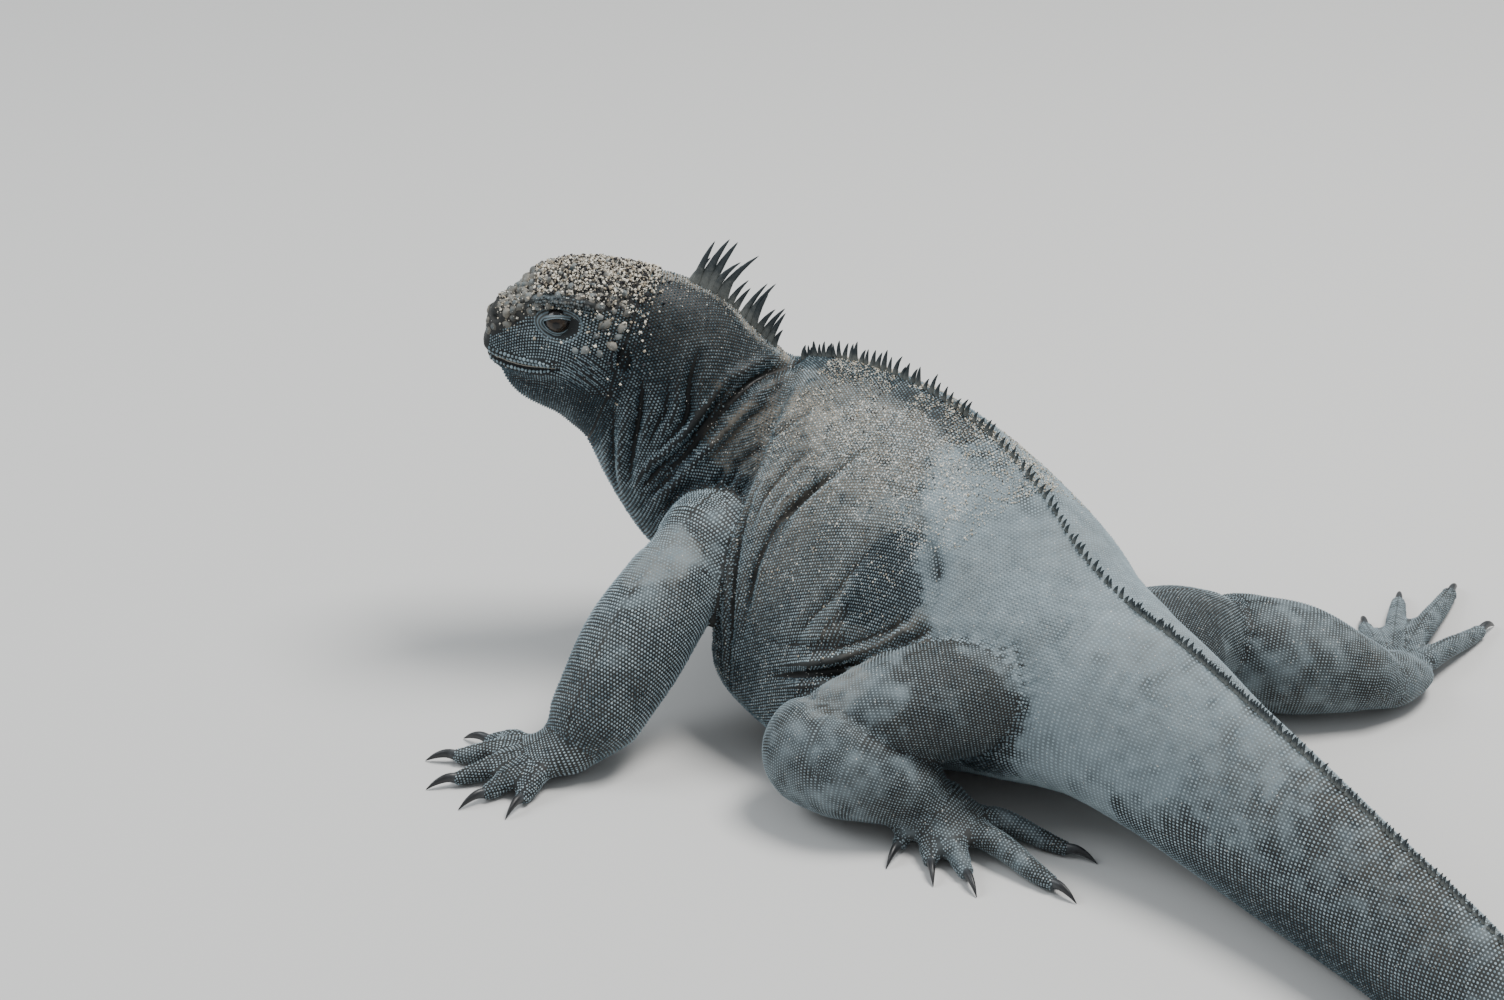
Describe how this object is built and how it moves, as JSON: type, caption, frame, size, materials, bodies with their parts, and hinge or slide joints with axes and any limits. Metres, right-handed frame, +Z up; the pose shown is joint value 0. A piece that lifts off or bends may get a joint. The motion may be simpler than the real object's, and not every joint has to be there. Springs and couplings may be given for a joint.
{
  "type": "marine iguana, still museum model",
  "caption": "Life-size still model of a marine iguana lying on level ground with its head raised and turned left, crest, claws and tail complete.",
  "frame": {"origin": "middle of the footprint, on the ground", "axes": "+X along the body towards the tail's tip, +Z up; the head looks towards -X and -Y"},
  "size_m": [0.7344, 0.4208, 0.1662],
  "materials": {
    "skin": "dry granular scaled skin, slate grey with pale dust",
    "eye": "wet, dark brown",
    "claw": "worn dark horn"
  },
  "bodies": {
    "root": {"claw_fore_left_1": "claw", "claw_fore_left_2": "claw", "claw_fore_left_3": "claw", "claw_fore_left_4": "claw", "claw_fore_left_5": "claw", "claw_fore_right_1": "claw", "claw_fore_right_2": "claw", "claw_fore_right_3": "claw", "claw_fore_right_4": "claw", "claw_fore_right_5": "claw", "claw_hind_left_1": "claw", "claw_hind_left_2": "claw", "claw_hind_left_3": "claw", "claw_hind_left_4": "claw", "claw_hind_left_5": "claw", "claw_hind_right_1": "claw", "claw_hind_right_2": "claw", "claw_hind_right_3": "claw", "claw_hind_right_4": "claw", "claw_hind_right_5": "claw", "eye_left": "eye", "eye_right": "eye", "foot_left": "skin", "foot_right": "skin", "forearm_left": "skin", "forearm_right": "skin", "hand_left": "skin", "hand_right": "skin", "head": "skin", "neck": "skin", "shank_left": "skin", "shank_right": "skin", "tail_1": "skin", "tail_2": "skin", "tail_3": "skin", "tail_4": "skin", "thigh_left": "skin", "thigh_right": "skin", "torso": "skin", "upper_arm_left": "skin", "upper_arm_right": "skin"}
  },
  "joints": []
}
